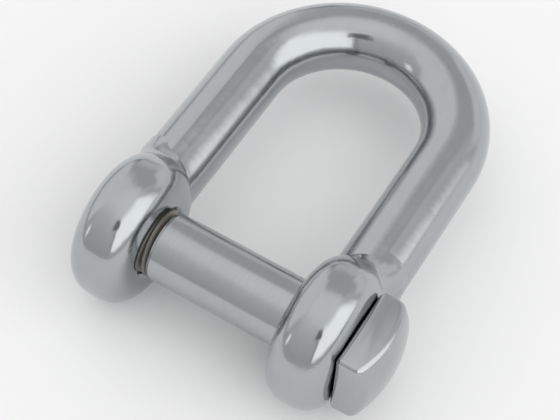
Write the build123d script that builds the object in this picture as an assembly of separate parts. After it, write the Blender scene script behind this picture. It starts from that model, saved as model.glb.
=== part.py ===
"""D shackle with a square-headed screw pin, 8 mm nominal size.

The bow is one forging: a round bar bent into a D, its two ends upset into round eyes. The pin is
one turned piece: a square domed head, a plain shank and a threaded end. The pin goes in through
the plain eye and screws into the tapped eye, until its head seats on the plain eye's outer face.

Millimetres. The pin lies along X with its head at +X, and the origin is on its axis, midway
between the eyes. The crown points along +Y and the shackle's plane is XY. Threads are drawn as
plain cylinders at their crest diameter.
"""

import os
from math import radians, sqrt, tan

from build123d import *

OUT = "parts"

# Bow
bar_diameter = 8.0  # round bar of the legs and the crown
jaw_width = 17.2  # between the flat inner faces of the eyes
leg_setback = 0.15  # the legs stand this far back from the eyes' inner faces
clear_length = 30.4  # from the pin's surface to the inside of the crown

# Eyes
eye_diameter = 17.0
eye_thickness = 7.1
rim_bulge = 0.4  # how far the rim's middle stands out past its two edges
eye_inner_round = 3.0  # edge rounding towards the jaw
eye_outer_round = 2.8  # edge rounding towards the outside
eye_hole_chamfer = 0.4  # at both mouths of the plain hole
tap_countersink = 0.4  # at both mouths of the tapped hole

# Leg ends: a leg's outer line steps in as it runs down into its eye
leg_root_depth = 3.5  # the leg ends this far inside the eye's rim
leg_root_inset = 0.35  # its outer line is then this far inside the eye's outer face
leg_step_start = 3.1  # the step begins this far inside the rim
leg_step_end = 0.3  # and is over this far outside it

# Necks: on each side a forged saddle carries the eye's rim up onto the leg
saddle_radius = 5.0  # of the hollow between the rim and the leg
saddle_depth = 3.3  # the saddle is rooted this far inside the rim
saddle_length = 4.8  # from there to where its end lies inside the leg
saddle_side_inset = 0.2  # its root is this much narrower than the eye, on either side
saddle_rim_inset = 0.12  # and its hollow starts this far under the rim
saddle_corner_radius = 2.9
saddle_least_flat = 0.05  # half the flat that stays between its two corners
saddle_inner_drift = 1.8  # its inner side moves out this far by its end
saddle_sink = 0.15  # its end lies this far under the leg's surface
saddle_blend = 1.5  # fillet between saddle and eye
loft_sections = 8  # each leg end and each saddle is drawn through this many

# Pin
pin_diameter = 8.0  # plain shank
pin_hole_clearance = 0.2  # on the diameter, in the plain eye
thread_crest_diameter = 7.9  # M8 external thread over its crests
thread_clearance = 0.1  # on the diameter, in the tapped eye
relief_diameter = 6.8  # groove between the shank and the thread
relief_width = 0.6
shoulder_proud = 0.7  # the shank's shoulder stops this far short of the tapped eye's face
shoulder_chamfer = 0.2
tip_recess = 0.3  # the pin's end lies this far inside the tapped eye's outer face
tip_chamfer = 0.9

# Head
head_flats = 10.0  # across the flats of the square
head_height = 4.75  # from the seat to the top of the dome
head_dome_radius = 12.8
head_corner_cut = 0.75  # how far the corners are turned down at the seat
head_corner_slope = 45.0  # degrees between that turned cone and the pin's axis
head_edge_round = 0.3
head_seat_gap = 0.05  # between the head's seat and the plain eye

# Places worked out from the sizes
bar_radius = bar_diameter / 2
eye_radius = eye_diameter / 2
pin_radius = pin_diameter / 2
jaw_face = jaw_width / 2
eye_outer_face = jaw_face + eye_thickness
leg_inner_line = jaw_face + leg_setback
leg_offset = leg_inner_line + bar_radius
leg_outer_line = leg_inner_line + bar_diameter
crown_centre = clear_length + pin_radius - leg_inner_line
leg_root = eye_radius - leg_root_depth
step_start = eye_radius - leg_step_start
step_end = eye_radius + leg_step_end
saddle_root = eye_radius - saddle_depth
saddle_end = saddle_root + saddle_length
seat_face = eye_outer_face + head_seat_gap
shoulder_face = -jaw_face + shoulder_proud
tip_face = -eye_outer_face + tip_recess


def bow_bar():
    """The round bar: two parallel legs and a half-round crown."""
    path = Line((-leg_offset, step_end, 0), (-leg_offset, crown_centre, 0))
    path += CenterArc((0, crown_centre, 0), leg_offset, 180, -180)
    path += Line((leg_offset, crown_centre, 0), (leg_offset, step_end, 0))
    section = Plane(origin=(-leg_offset, step_end, 0), z_dir=(0, 1, 0)) * Circle(bar_radius)
    return sweep(section, path)


def eye_blank():
    """The eye on the +X side: flat faces, a bulging rim and well rounded edges."""
    edge = eye_radius - rim_bulge
    inner_edge = (jaw_face, -edge)
    outer_edge = (eye_outer_face, -edge)
    rim_middle = ((jaw_face + eye_outer_face) / 2, -eye_radius)
    outline = [
        Line((jaw_face, 0), inner_edge),
        ThreePointArc(inner_edge, rim_middle, outer_edge),
        Line(outer_edge, (eye_outer_face, 0)),
        Line((eye_outer_face, 0), (jaw_face, 0)),
    ]
    profile = make_face(outline)
    for corner, size in ((inner_edge, eye_inner_round), (outer_edge, eye_outer_round)):
        profile = fillet(profile.vertices().sort_by_distance((*corner, 0))[0], size)
    return revolve(profile, Axis.X)


def stations(start, end):
    """Evenly spaced places for the sections of a loft, from start to end."""
    return [start + (end - start) * index / (loft_sections - 1) for index in range(loft_sections)]


def across_step(y, at_eye, on_leg):
    """A line along the leg that moves smoothly from one X to another over the step."""
    share = min(max((y - step_start) / (step_end - step_start), 0), 1)
    return at_eye + share * share * (3 - 2 * share) * (on_leg - at_eye)


def across_leg(inner, outer, y):
    """The plane square to the leg at y, centred between two lines, and half their distance."""
    half_width = (outer - inner) / 2
    return Plane(origin=(inner + half_width, y, 0), x_dir=(1, 0, 0), z_dir=(0, 1, 0)), half_width


def leg_end():
    """The end of the +X leg, from its root inside the eye to the full round bar."""
    sections = []
    for y in stations(leg_root, step_end):
        outer = across_step(y, eye_outer_face - leg_root_inset, leg_outer_line)
        plane, half_width = across_leg(leg_inner_line, outer, y)
        sections.append(plane * Ellipse(half_width, bar_radius))
    return loft(sections)


def saddle():
    """The +X saddle: as high as the rim at its root, hollowed down to just under the leg."""
    rim = eye_radius - saddle_rim_inset
    end_height = bar_radius - saddle_sink
    hollow_end = sqrt((rim + saddle_radius) ** 2 - (end_height + saddle_radius) ** 2)
    hollow_length = hollow_end * saddle_radius / (rim + saddle_radius)
    inner_root = jaw_face + saddle_side_inset
    sections = []
    for y in stations(saddle_root, saddle_end):
        back = min(max(hollow_end - y, 0), hollow_length)
        half_height = end_height + saddle_radius - sqrt(saddle_radius**2 - back**2)
        inner = inner_root + saddle_inner_drift * (y - saddle_root) / saddle_length
        outer = across_step(y, eye_outer_face - saddle_side_inset, leg_outer_line - saddle_sink)
        plane, half_width = across_leg(inner, outer, y)
        corner = min(saddle_corner_radius, half_width - saddle_least_flat)
        sections.append(plane * RectangleRounded(2 * half_width, 2 * half_height, corner))
    return loft(sections)


def eye_and_neck():
    """The +X eye, its saddle blended into it, and the end of its leg."""
    joined = eye_blank() + saddle()
    seam = [
        edge
        for edge in joined.edges()
        if edge.geom_type == GeomType.BSPLINE and max((edge @ 0).Y, (edge @ 1).Y) < step_end
    ]
    return fillet(seam, saddle_blend) + leg_end()


def countersunk_hole(diameter, start, end, flare):
    """A hole along X between two faces, with a cone of the given size at both mouths."""
    radius = diameter / 2
    wide = radius + flare
    outline = Polyline(
        (start, 0),
        (start, wide),
        (start + flare, radius),
        (end - flare, radius),
        (end, wide),
        (end, 0),
        close=True,
    )
    return revolve(make_face(outline), Axis.X)


def make_shackle_body():
    side = eye_and_neck()
    body = side + mirror(side, Plane.YZ) + bow_bar()
    plain_diameter = pin_diameter + pin_hole_clearance
    plain = countersunk_hole(plain_diameter, jaw_face, eye_outer_face, eye_hole_chamfer)
    tapped_diameter = thread_crest_diameter + thread_clearance
    tapped = countersunk_hole(tapped_diameter, -eye_outer_face, -jaw_face, tap_countersink)
    return body - plain - tapped


def make_shank():
    """The pin without its head: shank, relief groove and threaded end."""
    head_middle = seat_face + head_height / 2
    crest = thread_crest_diameter / 2
    relief = relief_diameter / 2
    relief_end = shoulder_face - relief_width
    outline = Polyline(
        (head_middle, 0),
        (head_middle, pin_radius),
        (shoulder_face + shoulder_chamfer, pin_radius),
        (shoulder_face, pin_radius - shoulder_chamfer),
        (shoulder_face, relief),
        (relief_end, relief),
        (relief_end - (crest - relief), crest),
        (tip_face + tip_chamfer, crest),
        (tip_face, crest - tip_chamfer),
        (tip_face, 0),
        close=True,
    )
    return revolve(make_face(outline), Axis.X)


def make_head():
    """A square block with a spherical top and its corners turned down towards the seat."""
    block = extrude(Plane.YZ.offset(seat_face) * Rectangle(head_flats, head_flats), head_height)
    dome = Pos(seat_face + head_height - head_dome_radius, 0, 0) * Sphere(head_dome_radius)
    seat_radius = head_flats / sqrt(2) - head_corner_cut
    top_radius = seat_radius + head_height * tan(radians(head_corner_slope))
    outline = Polyline(
        (seat_face, 0),
        (seat_face, seat_radius),
        (seat_face + head_height, top_radius),
        (seat_face + head_height, 0),
        close=True,
    )
    head = block & dome & revolve(make_face(outline), Axis.X)
    return fillet(head.edges(), head_edge_round)


def make_pin():
    return make_head() + make_shank()


os.makedirs(OUT, exist_ok=True)
export_step(make_shackle_body(), f"{OUT}/shackle_body.step")
export_step(make_pin(), f"{OUT}/square_head_pin.step")
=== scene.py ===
"""Looks for a D shackle with a square-headed screw pin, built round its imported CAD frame.

The forged bow keeps its CAD shape and gets a polished steel finish. The pin is modelled here with
its thread, and stands for the CAD pin. Everything is in metres, in the CAD's own frame: the pin
lies along X with its head at +X, the crown points along +Y and +Z is up.
"""

from math import cos, radians, sin, tan

import bpy
from mathutils import Matrix, Vector


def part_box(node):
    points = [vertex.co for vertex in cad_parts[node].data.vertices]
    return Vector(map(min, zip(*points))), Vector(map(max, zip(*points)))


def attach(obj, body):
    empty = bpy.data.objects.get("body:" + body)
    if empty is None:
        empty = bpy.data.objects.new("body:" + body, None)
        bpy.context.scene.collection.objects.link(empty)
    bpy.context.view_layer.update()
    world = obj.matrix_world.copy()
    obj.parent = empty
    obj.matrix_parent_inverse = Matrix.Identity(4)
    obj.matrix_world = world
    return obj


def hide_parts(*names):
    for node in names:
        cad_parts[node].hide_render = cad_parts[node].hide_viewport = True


bl_info = {
    "name": "D Shackle",
    "version": (1, 0, 0),
    "blender": (4, 5, 0),
    "location": "View3D > Sidebar > Shackle",
    "description": "Finishes a forged D shackle and its square-headed screw pin",
    "category": "Object",
}

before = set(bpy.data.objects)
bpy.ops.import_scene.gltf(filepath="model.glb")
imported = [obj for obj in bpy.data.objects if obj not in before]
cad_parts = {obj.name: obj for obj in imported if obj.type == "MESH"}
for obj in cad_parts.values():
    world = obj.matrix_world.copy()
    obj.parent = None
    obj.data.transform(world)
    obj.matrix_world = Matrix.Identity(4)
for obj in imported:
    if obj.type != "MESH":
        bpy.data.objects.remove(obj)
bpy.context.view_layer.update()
FLOOR_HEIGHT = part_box("shackle_body")[0].z
PIN_LOW, PIN_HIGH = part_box("square_head_pin")

# Meshes
MERGE_DISTANCE = 1e-7
SMOOTH_ANGLE = radians(30)  # edges flatter than this are shaded smooth
THREAD_FLANK = radians(30)  # between a thread's flank and a plane square to its axis
TURNS_BEYOND = 2  # turns swept past either end of the threaded length, then cut away
END_CUT = 0.5  # of a turn: how far inside its whole turns a swept thread is cut off square
BLANK_OVERSIZE = 1.001  # of the crest radius, so that the blank's surface doesn't lie on the crests
CORE_SHARE = 0.9  # of the root radius: the core that joins the shank to the thread
HIDDEN_TAPER = 0.9  # of the shank's radius, at its end inside the head
TAPER_DEPTH = 0.9  # of the head's height, from its top: where that taper starts
# The shank's worn edge at its shoulder: points back along the shank and inwards, in shoulder rounds
SHOULDER_EDGE = ((1.9, 0), (1.5, 0), (0.25, 0.4), (0, 1))
BALL_SEGMENTS = 256  # of the sphere that shapes the head's top
DOME_CUTS = 11  # rows of new points across the head's top
TOP_FACING = 0.9  # least X of a normal that counts as the head's top
SHARP_EDGE = radians(35)
EDGE_SEGMENTS = 5
CORNERS = (45, 135, 225, 315)  # degrees about X
CORNER_TURNS = (-7, 0, 7)  # each corner is turned down by flat cuts at these angles from its own

# Finishes
FORGED_GRAIN = (700, 250, 700)  # marks for each metre along X, Y and Z
TURNED_GRAIN = (3000, 300, 300)
TAPPED_GRAIN = (4000, 300, 300)
TURNED_EVENNESS = 3  # the pin is this many times less wavy than the forging
CLOUD_SCALE = 220.0  # clouds for each metre
DENT_SCALE = 600.0  # shallow dents for each metre
NOISE_SPAN = (0.3, 0.7)  # where most of a noise's values lie
SHADE_SPAN = (0.96, 1.04)  # how far the noise darkens and lightens the steel
BLUR_SLOPE, BLUR_BASE = 0.8, 0.6  # the roughness is multiplied by the noise times the slope, plus the base
DENT_HEIGHT = 0.00005
MARK_HEIGHT = 0.00002
STAIN_SPAN = (0.95, 0.7)  # strength at the roots and at the crests
STAIN_ROUGHNESS = 0.6
STAIN_FADE = (3, 1)  # turns past the shoulder where the stain is gone, and where it starts to fade
STAIN_STOP = 0.01  # of a turn, over which it stops at the shoulder

# Stage
SENSOR_WIDTH = 36  # millimetres, as the lens is
CLIP_START = 0.001
FLOOR_SIZE = 3
FLOOR_ROUGHNESS = 0.9

# The studio's grey by elevation in degrees: below the floor, a dark gap at its far edge, walls, ceiling
SKY = (
    (-90, 0.6), (-4, 0.4), (0, 0.3), (4, 0.34), (9, 0.52), (14, 0.62), (30, 0.68), (48, 0.78), (60, 0.9),
    (70, 1.02), (90, 1.07),
)

# What stands in the studio: azimuth slopes, elevation slopes and grey. Azimuth counts from the -Y side
# towards +X, both in degrees, and each slope is (start, end). A later one hides an earlier one.
NO_START, NO_END = (-401, -400), (400, 401)
PANELS = (
    ((23, 31), (116, 134), (1, 11), (54, 74), 1.68),  # large soft box
    ((-150, -140), (-68, -58), (-1, 5), (54, 70), 0.98),  # small soft box across from it
    ((132, 144), NO_END, (-1, 4), (20, 36), 0.93),  # pale wall behind, on either side of +Y
    (NO_START, (-158, -148), (-1, 4), (14, 30), 0.8),
    ((-50, -47), (-43, -40), (3, 7), (20, 26), 1.7),  # strip light
    ((98, 112), NO_END, (-7, -5), (3, 14), 0.88),  # paper that hides the floor's edge behind
    (NO_START, (-176, -164), (-7, -5), (3, 14), 0.88),
    ((146, 156), NO_END, (24, 31), (56, 64), 0.62),  # grey drape above the pale wall
    (NO_START, (-156, -146), (16, 22), (56, 64), 0.62),
    ((2, 6), (31, 36), (43, 47), (60, 64), 0.22),  # dark head of a stand
    ((19, 22), (25, 28), (-8, -4), (42, 46), 0.42),  # its pole
    ((-140, -120), (68, 92), (-9, -5), (6, 14), 0.6),  # grey board along the front
)


# Sizes and colours -------------------------------------------------------------------------


def length(name, description, default):
    return bpy.props.FloatProperty(
        name=name, description=description, default=default, unit="LENGTH", precision=5)


def factor(name, description, default):
    return bpy.props.FloatProperty(
        name=name, description=description, default=default, subtype="FACTOR", min=0, max=1)


def colour(name, description, default):
    return bpy.props.FloatVectorProperty(
        name=name, description=description, default=default, subtype="COLOR", size=3, min=0, max=1)


def angle(name, description, default):
    return bpy.props.FloatProperty(name=name, description=description, default=default, subtype="ANGLE")


class SteelSettings(bpy.types.PropertyGroup):
    forged_colour: colour("Forged colour", "Reflection colour of the polished forging", (0.424, 0.442, 0.455))
    turned_colour: colour("Turned colour", "Reflection colour of the turned pin", (0.42, 0.436, 0.446))
    stain_colour: colour("Stain colour", "Oil stain in the roots of the pin's thread", (0.32, 0.29, 0.245))
    forged_roughness: factor("Forged roughness", "Blur of the reflections in the forging", 0.15)
    turned_roughness: factor("Turned roughness", "Blur of the reflections in the pin", 0.16)
    thread_roughness: factor("Thread roughness", "Blur of the reflections in the eye's thread", 0.3)
    grain: factor("Grain", "Strength of the polishing marks", 0.12)
    waviness: factor("Waviness", "Strength of the forging's slight unevenness", 0.5)


class PinSettings(bpy.types.PropertyGroup):
    head_height: length("Head height", "From the seat to the top of the dome", 0.00475)
    dome_radius: length("Dome radius", "Radius of the head's domed top", 0.0128)
    corner_reach: length("Corner reach", "From the axis to the head's corners at the seat", 0.00632)
    edge_round: length("Edge round", "Rounding of the head's edges", 0.0006)
    shank_radius: length("Shank radius", "Radius of the plain shank", 0.004)
    shoulder: length("Shoulder", "Where along X the shank ends and the thread starts", -0.0079)
    shoulder_round: length("Shoulder round", "How far the shank's worn edge drops at its end", 0.0002)
    crest_radius: length("Crest radius", "Radius of the thread over its crests", 0.00395)
    root_radius: length("Root radius", "Radius of the thread at its roots", 0.00333)
    root_flat: length("Root flat", "Width of the flat at the thread's roots", 0.0003)
    pitch: length("Pitch", "Advance of the thread for each turn", 0.00125)
    tip_chamfer: length("Tip chamfer", "Chamfer at the threaded end", 0.0009)
    thread_play: length("Thread play", "Gap between the thread's flanks and the eye's", 0.00004)
    tapped_radius: length("Tapped radius", "Radius of the hole that the eye's thread stands in", 0.004)
    tapped_mouth: length("Tapped mouth", "Where along X the tapped hole starts to flare", -0.009)
    tapped_turns: bpy.props.IntProperty(
        name="Tapped turns", description="Whole turns of thread inside the eye", default=4, min=1)
    round_steps: bpy.props.IntProperty(
        name="Round steps", description="Sides of everything round on the pin", default=96, min=24)


class StageSettings(bpy.types.PropertyGroup):
    azimuth: angle("Azimuth", "Camera's turn about +Z, from the -Y side towards +X", radians(27.2))
    elevation: angle("Elevation", "Camera's height angle", radians(55.55))
    roll: angle("Roll", "Camera's turn about its own line of sight", 0.081)
    distance: length("Distance", "From the lens to the pin's middle, along the line of sight", 0.16073)
    aside: bpy.props.FloatVectorProperty(
        name="Aside", description="Camera's offset to its own right and up", subtype="TRANSLATION",
        size=2, default=(0.00567, 0.0074))
    lens: bpy.props.FloatProperty(
        name="Lens", description="Focal length in millimetres", unit="CAMERA", default=96.6)
    floor_colour: colour("Floor colour", "Colour of the pale floor", (0.93, 0.93, 0.93))


# Modelling helpers -------------------------------------------------------------------------


def clear_selection():
    bpy.ops.object.select_all(action="DESELECT")


def pick(obj):
    """Makes one object the only one selected, and the active one."""
    clear_selection()
    bpy.context.view_layer.objects.active = obj
    obj.select_set(True)


def edit(obj):
    """Opens one object in edit mode, with all of its mesh selected."""
    pick(obj)
    bpy.ops.object.mode_set(mode="EDIT")
    bpy.ops.mesh.select_all(action="SELECT")


def leave_edit():
    """Turns every face outward and goes back to object mode."""
    bpy.ops.mesh.select_all(action="SELECT")
    bpy.ops.mesh.normals_make_consistent(inside=False)
    bpy.ops.object.mode_set(mode="OBJECT")


def apply_modifier(obj, modifier):
    pick(obj)
    bpy.ops.object.modifier_apply(modifier=modifier.name)


def polyline(name, points, closed=False):
    """A line of mesh edges through points (x, radius), drawn in the XZ plane."""
    bpy.ops.mesh.primitive_plane_add()
    obj = bpy.context.object
    obj.name = name
    edit(obj)
    bpy.ops.mesh.merge(type="CENTER")
    place = Vector((0, 0, 0))
    for index, (x, radius) in enumerate(points):
        move = Vector((x, 0, radius)) - place
        place += move
        if index:
            bpy.ops.mesh.extrude_region_move(TRANSFORM_OT_translate={"value": move})
        else:
            bpy.ops.transform.translate(value=move)
    if closed:
        bpy.ops.mesh.select_all(action="SELECT")
        bpy.ops.mesh.edge_face_add()
        bpy.ops.mesh.delete(type="ONLY_FACE")
    bpy.ops.object.mode_set(mode="OBJECT")
    return obj


def swept(obj, steps, turns=1, pitch=0.0):
    """Sweeps a polyline round the X axis. With a pitch, each turn also moves along it."""
    screw = obj.modifiers.new("sweep", "SCREW")
    screw.axis = "X"
    screw.steps = steps
    screw.render_steps = steps
    screw.iterations = turns
    screw.screw_offset = pitch
    apply_modifier(obj, screw)
    edit(obj)
    bpy.ops.mesh.remove_doubles(threshold=MERGE_DISTANCE)
    bpy.ops.object.mode_set(mode="OBJECT")
    return obj


def swept_solid(obj, steps, turns=1, pitch=0.0):
    """The same with its open ends closed."""
    swept(obj, steps, turns, pitch)
    edit(obj)
    bpy.ops.mesh.fill_holes(sides=0)
    leave_edit()
    return obj


def cut(obj, place, direction):
    """Takes away what lies past a plane and closes the cut."""
    edit(obj)
    bpy.ops.mesh.bisect(
        plane_co=place, plane_no=direction, clear_outer=True, use_fill=True, threshold=MERGE_DISTANCE)
    leave_edit()


def common(obj, other):
    """What two solids have in common. The second one is used up."""
    boolean = obj.modifiers.new("common", "BOOLEAN")
    boolean.operation = "INTERSECT"
    boolean.solver = "EXACT"
    boolean.object = other
    apply_modifier(obj, boolean)
    bpy.data.objects.remove(other)
    return obj


def joined(name, pieces):
    """Makes one smooth-shaded object of closed pieces."""
    pick(pieces[0])
    for piece in pieces:
        piece.select_set(True)
    if len(pieces) > 1:
        bpy.ops.object.join()
    obj = bpy.context.object
    obj.name = name
    bpy.ops.object.transform_apply(location=True, rotation=True, scale=True)
    bpy.ops.object.shade_smooth_by_angle(angle=SMOOTH_ANGLE)
    return obj


# The pin -----------------------------------------------------------------------------------


def head_block(pin):
    """A block as wide as the head, from the seat to past its top, with a fine grid on its +X face."""
    bpy.ops.mesh.primitive_cube_add(size=1, location=(PIN_HIGH.x, 0, 0))
    block = bpy.context.object
    block.name = "head"
    block.scale = (2 * pin.head_height, 2 * PIN_HIGH.y, 2 * PIN_HIGH.y)
    bpy.ops.object.transform_apply(location=True, rotation=True, scale=True)
    edit(block)
    bpy.ops.mesh.select_all(action="DESELECT")
    bpy.ops.object.mode_set(mode="OBJECT")
    for face in block.data.polygons:
        face.select = face.normal.x > TOP_FACING
    bpy.ops.object.mode_set(mode="EDIT")
    bpy.ops.mesh.select_mode(type="FACE")
    bpy.ops.mesh.subdivide(number_cuts=DOME_CUTS)
    bpy.ops.object.vertex_group_add()
    bpy.ops.object.vertex_group_assign()
    bpy.ops.mesh.select_mode(type="VERT")
    bpy.ops.object.mode_set(mode="OBJECT")
    return block


def dome_top(block, pin):
    """Moves the grid on the block's top along X onto a sphere."""
    bpy.ops.mesh.primitive_uv_sphere_add(
        segments=BALL_SEGMENTS, ring_count=BALL_SEGMENTS // 2, radius=pin.dome_radius,
        location=(PIN_HIGH.x - pin.dome_radius, 0, 0))
    ball = bpy.context.object
    wrap = block.modifiers.new("dome", "SHRINKWRAP")
    wrap.wrap_method = "PROJECT"
    wrap.use_project_x = True
    wrap.use_project_y = False
    wrap.use_project_z = False
    wrap.use_negative_direction = True
    wrap.use_positive_direction = False
    wrap.target = ball
    wrap.vertex_group = block.vertex_groups[0].name
    apply_modifier(block, wrap)
    bpy.data.objects.remove(ball)


def pin_head(pin):
    """The square head: domed, its edges rounded, its corners turned down towards the seat."""
    head = head_block(pin)
    dome_top(head, pin)
    edit(head)
    bpy.ops.mesh.select_all(action="DESELECT")
    bpy.ops.mesh.select_mode(type="EDGE")
    bpy.ops.mesh.edges_select_sharp(sharpness=SHARP_EDGE)
    bpy.ops.mesh.bevel(offset=pin.edge_round, segments=EDGE_SEGMENTS, affect="EDGES", clamp_overlap=True)
    bpy.ops.mesh.select_mode(type="VERT")
    leave_edit()
    seat = Vector((PIN_HIGH.x - pin.head_height, 0, 0))
    slope = Vector((-1, 0, 0))
    for corner in CORNERS:
        for turn in CORNER_TURNS:
            across = radians(corner + turn)
            out = Vector((0, cos(across), sin(across)))
            cut(head, seat + out * pin.corner_reach, (out + slope).normalized())
    return head


def pin_shank(pin):
    """The plain shank from inside the head to its shoulder, and a core that runs on inside the thread."""
    inside_head = PIN_HIGH.x - pin.head_height / 2
    core = pin.root_radius * CORE_SHARE
    outline = [
        (inside_head, 0),
        (inside_head, pin.shank_radius * HIDDEN_TAPER),
        (PIN_HIGH.x - pin.head_height * TAPER_DEPTH, pin.shank_radius),
    ]
    worn = pin.shoulder_round
    for back, inwards in SHOULDER_EDGE:
        outline.append((pin.shoulder + back * worn, pin.shank_radius - inwards * worn))
    outline += [
        (pin.shoulder, core),
        (pin.shoulder - pin.pitch, core),
        (pin.shoulder - pin.pitch, 0),
    ]
    return swept_solid(polyline("shank", outline), pin.round_steps)


def thread_start(pin):
    """Where along X a root of the thread lies in the XZ plane, before the pin's tip."""
    return PIN_LOW.x - TURNS_BEYOND * pin.pitch


def pin_thread(pin):
    """The threaded end: a helical thread cut to a blank with a chamfered tip."""
    flank = (pin.crest_radius - pin.root_radius) * tan(THREAD_FLANK)
    half_root = pin.root_flat / 2
    turns = int((pin.shoulder - PIN_LOW.x) / pin.pitch) + 2 * TURNS_BEYOND
    start = thread_start(pin)
    outline = [
        (start, pin.root_radius),
        (start + half_root, pin.root_radius),
        (start + half_root + flank, pin.crest_radius),
        (start + pin.pitch - half_root - flank, pin.crest_radius),
        (start + pin.pitch - half_root, pin.root_radius),
        (start + pin.pitch, pin.root_radius),
    ]
    rod = swept(polyline("thread", outline), pin.round_steps, turns, pin.pitch)
    cut(rod, (start + (1 + END_CUT) * pin.pitch, 0, 0), (-1, 0, 0))
    cut(rod, (start + (turns - END_CUT) * pin.pitch, 0, 0), (1, 0, 0))
    over = pin.crest_radius * BLANK_OVERSIZE
    blank = [
        (pin.shoulder, 0),
        (pin.shoulder, over),
        (PIN_LOW.x + pin.tip_chamfer, over),
        (PIN_LOW.x, over - pin.tip_chamfer),
        (PIN_LOW.x, 0),
    ]
    return common(rod, swept_solid(polyline("blank", blank), pin.round_steps))


def tapped_thread(pin):
    """The eye's own thread: a helical ridge that stands in the roots of the pin's."""
    tilt = tan(THREAD_FLANK)
    tip = pin.root_radius + pin.thread_play
    foot = pin.tapped_radius + pin.thread_play
    half_tip = pin.root_flat / 2 + (tip - pin.root_radius) * tilt - pin.thread_play
    half_foot = half_tip + (foot - tip) * tilt
    middle = thread_start(pin) + (TURNS_BEYOND + 1) * pin.pitch
    outline = [
        (middle - half_foot, foot),
        (middle - half_tip, tip),
        (middle + half_tip, tip),
        (middle + half_foot, foot),
    ]
    ridge = polyline("tapped_thread", outline, closed=True)
    swept_solid(ridge, pin.round_steps, pin.tapped_turns, pin.pitch)
    cut(ridge, (pin.tapped_mouth, 0, 0), (1, 0, 0))
    return ridge


# Node helpers ------------------------------------------------------------------------------


def feed(tree, socket, value):
    """Gives a socket a link from another socket, or a plain value."""
    if isinstance(value, bpy.types.NodeSocket):
        tree.links.new(value, socket)
    else:
        socket.default_value = value


def scalar(tree, operation, *inputs):
    """A Math node. Each input is a socket or a number."""
    node = tree.nodes.new("ShaderNodeMath")
    node.operation = operation
    for socket, value in zip(node.inputs, inputs):
        feed(tree, socket, value)
    return node.outputs["Value"]


def mapped(tree, value, source, target, smooth=True):
    """Moves a value from one span to another. Each span is (start, end)."""
    node = tree.nodes.new("ShaderNodeMapRange")
    node.interpolation_type = "SMOOTHSTEP" if smooth else "LINEAR"
    for name, number in zip(("From Min", "From Max", "To Min", "To Max"), (*source, *target)):
        node.inputs[name].default_value = number
    tree.links.new(value, node.inputs["Value"])
    return node.outputs["Result"]


def window(tree, value, rise, fall):
    """1 between the two slopes and 0 outside them. Each slope is (start, end)."""
    return scalar(tree, "MULTIPLY", mapped(tree, value, rise, (0, 1)), mapped(tree, value, fall, (1, 0)))


def blended(tree, under, over, mask, kind="FLOAT"):
    """Mixes two numbers (FLOAT) or two colours (RGBA) by a mask."""
    node = tree.nodes.new("ShaderNodeMix")
    node.data_type = kind
    low, high, out = {"FLOAT": (2, 3, 0), "RGBA": (6, 7, 2)}[kind]
    feed(tree, node.inputs["Factor"], mask)
    feed(tree, node.inputs[low], under)
    feed(tree, node.inputs[high], over)
    return node.outputs[out]


def noise(tree, where, scale, detail):
    node = tree.nodes.new("ShaderNodeTexNoise")
    node.inputs["Scale"].default_value = scale
    node.inputs["Detail"].default_value = detail
    tree.links.new(where, node.inputs["Vector"])
    return node.outputs["Fac"]


def bumped(tree, height, strength, distance, normal=None):
    """A Bump node, over another one's normal if one is given."""
    node = tree.nodes.new("ShaderNodeBump")
    node.inputs["Distance"].default_value = distance
    tree.links.new(strength, node.inputs["Strength"])
    tree.links.new(height, node.inputs["Height"])
    if normal:
        tree.links.new(normal, node.inputs["Normal"])
    return node.outputs["Normal"]


def grey_ramp(tree, value, stops):
    """Greys along a value, as (position, grey) stops."""
    node = tree.nodes.new("ShaderNodeFloatCurve")
    curve = node.mapping.curves[0]
    top = max(grey for _, grey in stops)
    for position, grey in stops[1:-1]:
        curve.points.new(position, grey / top)
    curve.points[0].location = (stops[0][0], stops[0][1] / top)
    curve.points[-1].location = (stops[-1][0], stops[-1][1] / top)
    node.mapping.update()
    tree.links.new(value, node.inputs["Value"])
    return scalar(tree, "MULTIPLY", node.outputs["Value"], top)


# Materials ---------------------------------------------------------------------------------


def new_material(name):
    material = bpy.data.materials.new(name)
    material.use_nodes = True
    return material


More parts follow.
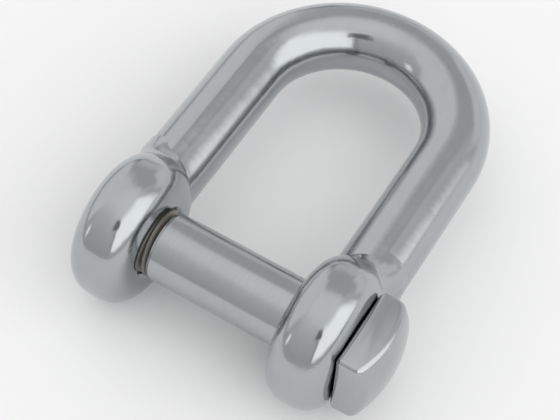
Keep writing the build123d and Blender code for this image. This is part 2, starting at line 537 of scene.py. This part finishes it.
def brushing_group():
    """Polishing marks: a fine grain drawn out along one way, with a cloudy unevenness over it."""
    group = bpy.data.node_groups.get("brushing")
    if group:
        return group
    group = bpy.data.node_groups.new("brushing", "ShaderNodeTree")
    for name, kind, default in (
        ("Stretch", "Vector", (1000, 1000, 1000)),
        ("Colour", "Color", (0.5, 0.5, 0.5, 1)),
        ("Roughness", "Float", 0.15),
        ("Depth", "Float", 0.05),
        ("Waviness", "Float", 0.2),
    ):
        socket = group.interface.new_socket(name=name, in_out="INPUT", socket_type="NodeSocket" + kind)
        socket.default_value = default
    for name, kind in (("Colour", "Color"), ("Roughness", "Float"), ("Normal", "Vector")):
        group.interface.new_socket(name=name, in_out="OUTPUT", socket_type="NodeSocket" + kind)
    nodes, links = group.nodes, group.links
    given = nodes.new("NodeGroupInput").outputs
    out = nodes.new("NodeGroupOutput").inputs
    where = nodes.new("ShaderNodeTexCoord").outputs["Object"]
    drawn = nodes.new("ShaderNodeVectorMath")
    drawn.operation = "MULTIPLY"
    links.new(where, drawn.inputs[0])
    links.new(given["Stretch"], drawn.inputs[1])
    grain = noise(group, drawn.outputs["Vector"], scale=1.0, detail=5.0)
    cloud = noise(group, where, CLOUD_SCALE, detail=3.0)
    dents = noise(group, where, DENT_SCALE, detail=2.0)
    both = scalar(group, "MULTIPLY", scalar(group, "ADD", grain, cloud), 0.5)
    shade = nodes.new("ShaderNodeVectorMath")
    shade.operation = "SCALE"
    links.new(given["Colour"], shade.inputs[0])
    links.new(mapped(group, both, NOISE_SPAN, SHADE_SPAN, smooth=False), shade.inputs["Scale"])
    links.new(shade.outputs["Vector"], out["Colour"])
    blur = scalar(group, "MULTIPLY_ADD", both, BLUR_SLOPE, BLUR_BASE)
    links.new(scalar(group, "MULTIPLY", given["Roughness"], blur), out["Roughness"])
    uneven = bumped(group, dents, given["Waviness"], DENT_HEIGHT)
    links.new(bumped(group, grain, given["Depth"], MARK_HEIGHT, uneven), out["Normal"])
    return group


def steel(name, tint, roughness, stretch, waviness, grain):
    """Stainless steel with polishing marks."""
    material = new_material(name)
    nodes, links = material.node_tree.nodes, material.node_tree.links
    shader = nodes["Principled BSDF"]
    shader.inputs["Metallic"].default_value = 1.0
    brushing = nodes.new("ShaderNodeGroup")
    brushing.node_tree = brushing_group()
    brushing.inputs["Stretch"].default_value = stretch
    brushing.inputs["Colour"].default_value = (*tint, 1)
    brushing.inputs["Roughness"].default_value = roughness
    brushing.inputs["Depth"].default_value = grain
    brushing.inputs["Waviness"].default_value = waviness
    links.new(brushing.outputs["Colour"], shader.inputs["Base Color"])
    links.new(brushing.outputs["Roughness"], shader.inputs["Roughness"])
    links.new(brushing.outputs["Normal"], shader.inputs["Normal"])
    return material


def stain_thread(material, pin, tint):
    """Stains the first turns of the pin's thread past the shoulder, most in the roots, as old oil does."""
    tree = material.node_tree
    shader = tree.nodes["Principled BSDF"]
    parts = tree.nodes.new("ShaderNodeSeparateXYZ")
    tree.links.new(tree.nodes.new("ShaderNodeTexCoord").outputs["Object"], parts.inputs["Vector"])
    x, y, z = (parts.outputs[axis] for axis in "XYZ")
    radius = scalar(tree, "SQRT", scalar(tree, "MULTIPLY_ADD", y, y, scalar(tree, "MULTIPLY", z, z)))
    depth = mapped(tree, radius, (pin.root_radius, pin.crest_radius), STAIN_SPAN)
    fade = [pin.shoulder - turns * pin.pitch for turns in STAIN_FADE]
    stop = (pin.shoulder, pin.shoulder + STAIN_STOP * pin.pitch)
    stained = scalar(tree, "MULTIPLY", window(tree, x, fade, stop), depth)
    for name, kind, stain in (("Base Color", "RGBA", (*tint, 1)), ("Roughness", "FLOAT", STAIN_ROUGHNESS)):
        socket = shader.inputs[name]
        tree.links.new(blended(tree, socket.links[0].from_socket, stain, stained, kind), socket)


def floor_material(tint):
    material = new_material("pale_floor")
    shader = material.node_tree.nodes["Principled BSDF"]
    shader.inputs["Base Color"].default_value = (*tint, 1)
    shader.inputs["Roughness"].default_value = FLOOR_ROUGHNESS
    return material


# Stage -------------------------------------------------------------------------------------


def camera_axes(settings):
    """The camera's right, up and backward directions."""
    az, el, roll = settings.azimuth, settings.elevation, settings.roll
    back = Vector((sin(az) * cos(el), -cos(az) * cos(el), sin(el)))
    right = Vector((cos(az), sin(az), 0))
    up = back.cross(right)
    return cos(roll) * right + sin(roll) * up, cos(roll) * up - sin(roll) * right, back


def place_camera(scene, settings):
    right, up, back = camera_axes(settings)
    data = bpy.data.cameras.new("camera")
    data.lens = settings.lens
    data.sensor_width = SENSOR_WIDTH
    data.clip_start = CLIP_START
    camera = bpy.data.objects.new("camera", data)
    turn = Matrix((right, up, back)).transposed().to_4x4()
    place = right * settings.aside[0] + up * settings.aside[1] + back * settings.distance
    camera.matrix_world = Matrix.Translation(place) @ turn
    scene.collection.objects.link(camera)
    scene.camera = camera


def studio_world(tree):
    """A studio in soft greys, painted by direction: its walls and ceiling, and what stands in it."""
    parts = tree.nodes.new("ShaderNodeSeparateXYZ")
    tree.links.new(tree.nodes.new("ShaderNodeTexCoord").outputs["Generated"], parts.inputs["Vector"])
    x, y, z = (parts.outputs[axis] for axis in "XYZ")
    elevation = scalar(tree, "DEGREES", scalar(tree, "ARCSINE", z))
    azimuth = scalar(tree, "DEGREES", scalar(tree, "ARCTAN2", x, scalar(tree, "MULTIPLY", y, -1)))
    share = scalar(tree, "DIVIDE", scalar(tree, "ADD", elevation, 90), 180)
    grey = grey_ramp(tree, share, [((height + 90) / 180, level) for height, level in SKY])
    for rise, fall, up, down, level in PANELS:
        mask = scalar(tree, "MULTIPLY", window(tree, azimuth, rise, fall), window(tree, elevation, up, down))
        grey = blended(tree, grey, level, mask)
    tree.links.new(grey, tree.nodes["Background"].inputs["Color"])


# Operators and panel -----------------------------------------------------------------------


class SHACKLE_OT_finish_body(bpy.types.Operator):
    """Gives the forged body its polished steel"""

    bl_idname = "shackle.finish_body"
    bl_label = "Finish the forged body"

    def execute(self, context):
        looks = context.scene.shackle_steel
        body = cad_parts["shackle_body"]
        body.data.materials.clear()
        body.data.materials.append(steel(
            "polished_steel", looks.forged_colour, looks.forged_roughness, FORGED_GRAIN, looks.waviness,
            looks.grain))
        return {"FINISHED"}


class SHACKLE_OT_model_tapped_thread(bpy.types.Operator):
    """Models the thread inside the tapped eye"""

    bl_idname = "shackle.model_tapped_thread"
    bl_label = "Model the eye's thread"

    def execute(self, context):
        looks = context.scene.shackle_steel
        ridge = joined("eye_thread", [tapped_thread(context.scene.shackle_pin)])
        ridge.data.materials.append(steel(
            "tapped_steel", looks.turned_colour, looks.thread_roughness, TAPPED_GRAIN, 0, looks.grain))
        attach(ridge, "shackle_body")
        return {"FINISHED"}


class SHACKLE_OT_model_pin(bpy.types.Operator):
    """Models the square-headed pin with its thread, in place of the plain CAD pin"""

    bl_idname = "shackle.model_pin"
    bl_label = "Model the pin"

    def execute(self, context):
        sizes = context.scene.shackle_pin
        looks = context.scene.shackle_steel
        pin = joined("threaded_pin", [pin_shank(sizes), pin_thread(sizes), pin_head(sizes)])
        material = steel(
            "turned_steel", looks.turned_colour, looks.turned_roughness, TURNED_GRAIN,
            looks.waviness / TURNED_EVENNESS, looks.grain)
        stain_thread(material, sizes, looks.stain_colour)
        pin.data.materials.clear()
        pin.data.materials.append(material)
        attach(pin, "pin")
        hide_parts("square_head_pin")
        return {"FINISHED"}


class SHACKLE_OT_build_stage(bpy.types.Operator):
    """Sets the camera, the floor and the studio's light"""

    bl_idname = "shackle.build_stage"
    bl_label = "Build the stage"

    def execute(self, context):
        scene = context.scene
        settings = scene.shackle_stage
        place_camera(scene, settings)
        clear_selection()
        bpy.ops.mesh.primitive_plane_add(size=FLOOR_SIZE, location=(0, 0, FLOOR_HEIGHT))
        floor = context.object
        floor.name = "floor"
        floor.data.materials.append(floor_material(settings.floor_colour))
        scene.world = bpy.data.worlds.new("studio")
        scene.world.use_nodes = True
        studio_world(scene.world.node_tree)
        scene.view_settings.view_transform = "Standard"
        return {"FINISHED"}


class SHACKLE_PT_panel(bpy.types.Panel):
    """Lists the settings and the operators"""

    bl_idname = "SHACKLE_PT_panel"
    bl_label = "D Shackle"
    bl_space_type = "VIEW_3D"
    bl_region_type = "UI"
    bl_category = "Shackle"

    def draw(self, context):
        layout = self.layout
        scene = context.scene
        for group in (scene.shackle_pin, scene.shackle_steel, scene.shackle_stage):
            for name in group.bl_rna.properties.keys():
                if name not in ("rna_type", "name"):
                    layout.prop(group, name)
        for operator in OPERATORS:
            layout.operator(operator.bl_idname)


OPERATORS = (
    SHACKLE_OT_finish_body,
    SHACKLE_OT_model_tapped_thread,
    SHACKLE_OT_model_pin,
    SHACKLE_OT_build_stage,
)
CLASSES = (SteelSettings, PinSettings, StageSettings, *OPERATORS, SHACKLE_PT_panel)


def register():
    for cls in CLASSES:
        bpy.utils.register_class(cls)
    bpy.types.Scene.shackle_steel = bpy.props.PointerProperty(type=SteelSettings)
    bpy.types.Scene.shackle_pin = bpy.props.PointerProperty(type=PinSettings)
    bpy.types.Scene.shackle_stage = bpy.props.PointerProperty(type=StageSettings)


def unregister():
    del bpy.types.Scene.shackle_stage
    del bpy.types.Scene.shackle_pin
    del bpy.types.Scene.shackle_steel
    for cls in reversed(CLASSES):
        bpy.utils.unregister_class(cls)


def main():
    register()
    bpy.ops.shackle.finish_body()
    bpy.ops.shackle.model_tapped_thread()
    bpy.ops.shackle.model_pin()
    bpy.ops.shackle.build_stage()


if __name__ == "__main__":
    main()
